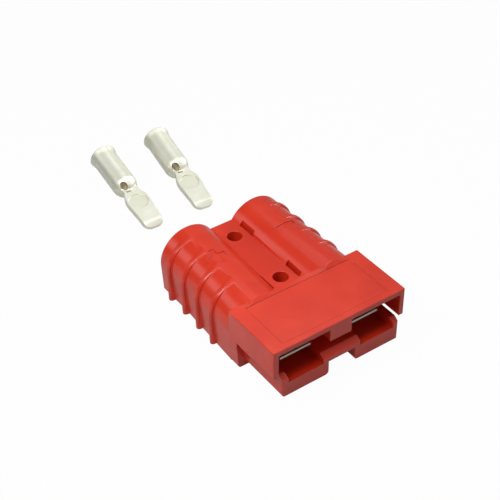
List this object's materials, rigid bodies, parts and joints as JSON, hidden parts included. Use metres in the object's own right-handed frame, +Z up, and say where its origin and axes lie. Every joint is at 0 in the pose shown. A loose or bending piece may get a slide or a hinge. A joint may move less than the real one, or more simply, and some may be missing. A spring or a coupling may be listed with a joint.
{
  "type": "genderless power connector",
  "caption": "Genderless two-pole battery connector: moulded hooded housing with leaf springs, and loose flat-bladed crimp contacts lying behind it.",
  "frame": {"origin": "midway between the two mounting holes, on the flat underside of the housing", "axes": "+Z up through the mounting holes; +Y towards the cables, so the mating face looks along -Y; +X across the two poles, from the plus-marked one to the minus-marked one"},
  "size_m": [0.0574, 0.1536, 0.0248],
  "materials": {
    "housing": "moulded glossy red polycarbonate",
    "spring_steel": "rolled stainless spring strip",
    "contact_plating": "bright silver plate on copper"
  },
  "bodies": {
    "root": {"housing": "housing", "left_spring": "spring_steel", "right_spring": "spring_steel", "left_contact": "contact_plating", "right_contact": "contact_plating"}
  },
  "joints": []
}
